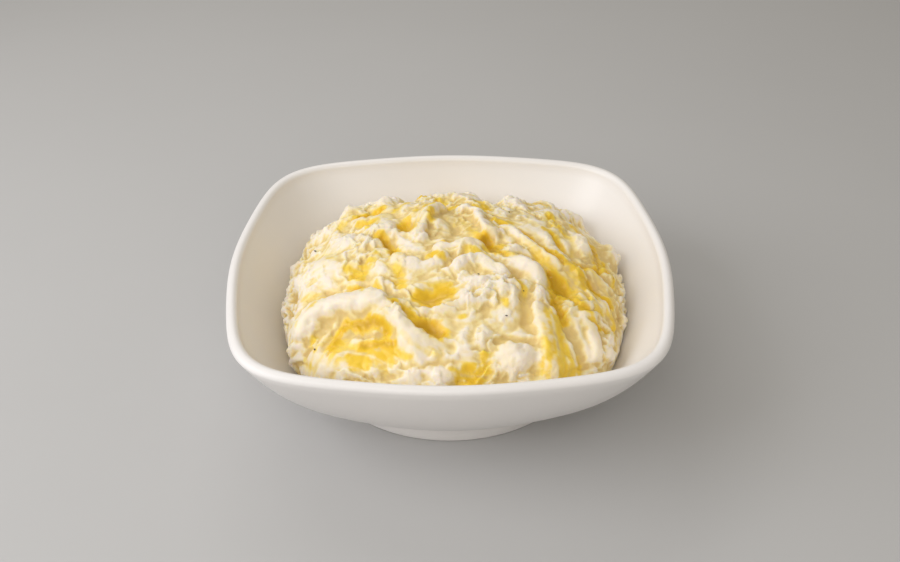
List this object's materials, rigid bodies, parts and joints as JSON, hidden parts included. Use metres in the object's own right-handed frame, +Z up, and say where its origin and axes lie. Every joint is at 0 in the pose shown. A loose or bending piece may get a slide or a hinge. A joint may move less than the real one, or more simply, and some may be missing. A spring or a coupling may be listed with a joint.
{
  "type": "mashed potato side",
  "caption": "Side dish of mashed potato with butter, heaped and folded in a square-shouldered white porcelain bowl on a round foot ring.",
  "frame": {"origin": "middle of the foot ring, on the surface the bowl stands on", "axes": "+Z up, -Y towards the diner's side that shows the smooth scoop, +X to the right seen from there"},
  "size_m": [0.16, 0.16, 0.0566],
  "materials": {
    "porcelain": "warm white satin glaze",
    "mash": "moist mashed potato with streaks of melted butter"
  },
  "bodies": {
    "root": {"bowl": "porcelain", "mashed_potato": "mash"}
  },
  "joints": []
}
